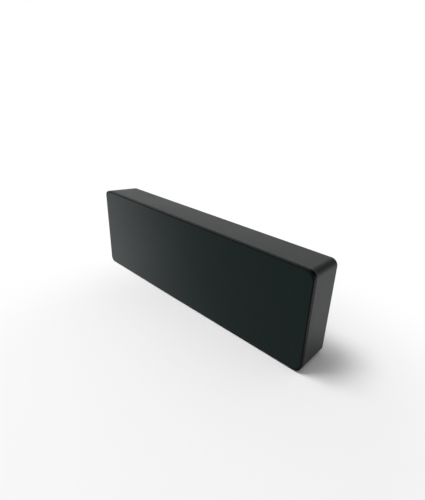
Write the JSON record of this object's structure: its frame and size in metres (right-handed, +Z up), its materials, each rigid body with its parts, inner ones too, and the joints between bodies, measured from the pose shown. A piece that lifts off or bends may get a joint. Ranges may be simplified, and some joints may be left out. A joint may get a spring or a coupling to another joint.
{
  "type": "digital led desk clock",
  "caption": "Free-standing slab-shaped digital LED clock with a dark full-face lens, rear keys, a supply socket and a hinged battery door.",
  "frame": {"origin": "on the table, under the middle of the clock's bounding box", "axes": "+X to the right as the display is read, +Y from the lens to the back, +Z up"},
  "size_m": [0.185, 0.025, 0.06],
  "materials": {
    "smoked_lens": "gloss",
    "foam_tape": "matte",
    "case_black": "satin",
    "cover_black": "satin",
    "key_black": "satin",
    "foot_rubber": "matte",
    "diffuser_film": "satin",
    "reflector_white": "matte",
    "led_resin": "gloss",
    "board_laminate": "satin",
    "screw_steel": "satin",
    "nickel_strip": "satin",
    "spring_steel": "satin",
    "socket_steel": "satin",
    "red_insulation": "satin",
    "black_insulation": "satin",
    "switch_black": "matte",
    "chip_black": "matte",
    "capacitor_sleeve": "satin"
  },
  "bodies": {
    "case": {"lens_panel": "smoked_lens", "lens_tape": "foam_tape", "front_shell": "case_black", "foot_pads": "foot_rubber", "diffuser_sheet": "diffuser_film", "segment_reflector": "reflector_white", "segment_leds": "led_resin", "main_board": "board_laminate", "board_screws": "screw_steel", "rear_cover": "cover_black", "case_screws": "screw_steel", "contact_plates": "nickel_strip", "battery_springs": "spring_steel", "positive_lead": "red_insulation", "negative_lead": "black_insulation", "switch_bodies": "switch_black", "usb_socket": "socket_steel", "usb_tongue": "switch_black", "power_board": "board_laminate", "alarm_buzzer": "switch_black", "clock_chip": "chip_black", "quartz_crystal": "socket_steel", "supply_capacitor": "capacitor_sleeve", "chip_resistors": "chip_black", "driver_transistors": "chip_black"},
    "mode_key": {"mode_button": "key_black", "mode_plunger": "switch_black"},
    "set_key": {"set_button": "key_black", "set_plunger": "switch_black"},
    "up_key": {"up_button": "key_black", "up_plunger": "switch_black"},
    "down_key": {"down_button": "key_black", "down_plunger": "switch_black"},
    "door": {"battery_door": "cover_black"}
  },
  "joints": [
    {"name": "mode_press", "type": "slide", "parent": "case", "child": "mode_key", "axis": [0, -1, 0], "range_m": [0, 0.0004], "stiffness_N_per_m": 1500, "springref_m": -0.0006},
    {"name": "set_press", "type": "slide", "parent": "case", "child": "set_key", "axis": [0, -1, 0], "range_m": [0, 0.0004], "stiffness_N_per_m": 1500, "springref_m": -0.0006},
    {"name": "up_press", "type": "slide", "parent": "case", "child": "up_key", "axis": [0, -1, 0], "range_m": [0, 0.0004], "stiffness_N_per_m": 1500, "springref_m": -0.0006},
    {"name": "down_press", "type": "slide", "parent": "case", "child": "down_key", "axis": [0, -1, 0], "range_m": [0, 0.0004], "stiffness_N_per_m": 1500, "springref_m": -0.0006},
    {"name": "door_swing", "type": "hinge", "parent": "case", "child": "door", "pos_m": [0, 0.01095, 0.0106], "axis": [-1, 0, 0], "range_deg": [0, 60]}
  ]
}
